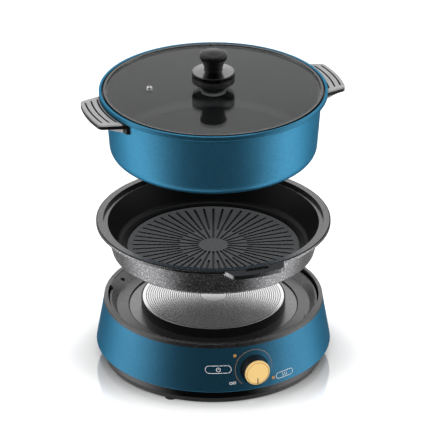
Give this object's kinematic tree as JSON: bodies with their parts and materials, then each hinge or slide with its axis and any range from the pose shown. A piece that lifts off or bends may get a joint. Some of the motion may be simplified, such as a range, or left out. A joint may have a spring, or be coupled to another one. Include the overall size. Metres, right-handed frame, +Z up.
{
  "type": "electric cooking pot",
  "caption": "Countertop electric cooker lifted apart: round heating base with control knob, grill pan with ears, and blue pot with side handles and knobbed glass lid.",
  "frame": {"origin": "on the table, under the middle of the base", "axes": "+Z up along the axis of base, pan and pot; -Y to the front, where the knob is; pot handles along X"},
  "size_m": [0.327, 0.32, 0.4159],
  "materials": {
    "blue_shell": "satin",
    "blue_coat": "satin",
    "pan_coat": "satin",
    "black_plastic": "satin",
    "dark_plastic": "satin",
    "grey_plastic": "satin",
    "shield_coat": "satin",
    "black_enamel": "satin",
    "cast_aluminium": "satin",
    "steel": "satin",
    "gold": "satin",
    "amber": "gloss",
    "brass": "satin",
    "rubber": "matte",
    "silicone": "matte",
    "clear_glass": "polished",
    "wire": "satin",
    "ceramic": "matte"
  },
  "bodies": {
    "base": {"base_shell": "blue_shell", "base_rim": "black_plastic", "lower_skirt": "dark_plastic", "bottom_cover": "black_plastic", "rubber_feet": "rubber", "cover_screws": "steel", "heat_shield": "shield_coat", "shield_screws": "steel", "hot_plate": "cast_aluminium", "plate_ring": "black_enamel", "heating_element": "steel", "plate_bridge": "steel", "plate_bolt": "steel", "thermostat": "dark_plastic", "thermostat_nut": "steel", "power_lens": "amber", "heating_lens": "amber", "indicator_lamps": "amber", "power_inlet": "black_plastic", "inlet_pins": "brass", "terminal_block": "ceramic", "thermal_fuse": "steel", "wiring": "wire"},
    "control_knob": {"knob_skirt": "black_plastic", "knob_face": "gold", "knob_shaft": "steel"},
    "pan": {"grill_pan": "pan_coat"},
    "pot": {"pot_shell": "blue_coat", "left_handle_cover": "grey_plastic", "right_handle_cover": "grey_plastic", "left_handle_bracket": "black_plastic", "right_handle_bracket": "black_plastic", "handle_screws": "steel"},
    "lid": {"lid_glass": "clear_glass", "lid_band": "steel", "lid_collar": "dark_plastic", "lid_guard": "black_plastic", "lid_grip": "black_plastic", "lid_seal": "silicone", "lid_screw": "steel", "steam_vent": "steel"}
  },
  "joints": [
    {"name": "knob_turn", "type": "hinge", "parent": "base", "child": "control_knob", "pos_m": [0, -0.13886, 0.0487], "axis": [0, 1, 0], "range_deg": [0, 270]},
    {"name": "pan_lift", "type": "slide", "parent": "base", "child": "pan", "axis": [0, 0, 1], "range_m": [-0.0661, 0]},
    {"name": "pot_lift", "type": "slide", "parent": "pan", "child": "pot", "axis": [0, 0, 1], "range_m": [-0.1136, 0]},
    {"name": "lid_lift", "type": "slide", "parent": "pot", "child": "lid", "axis": [0, 0, 1], "range_m": [0, 0.12]}
  ]
}
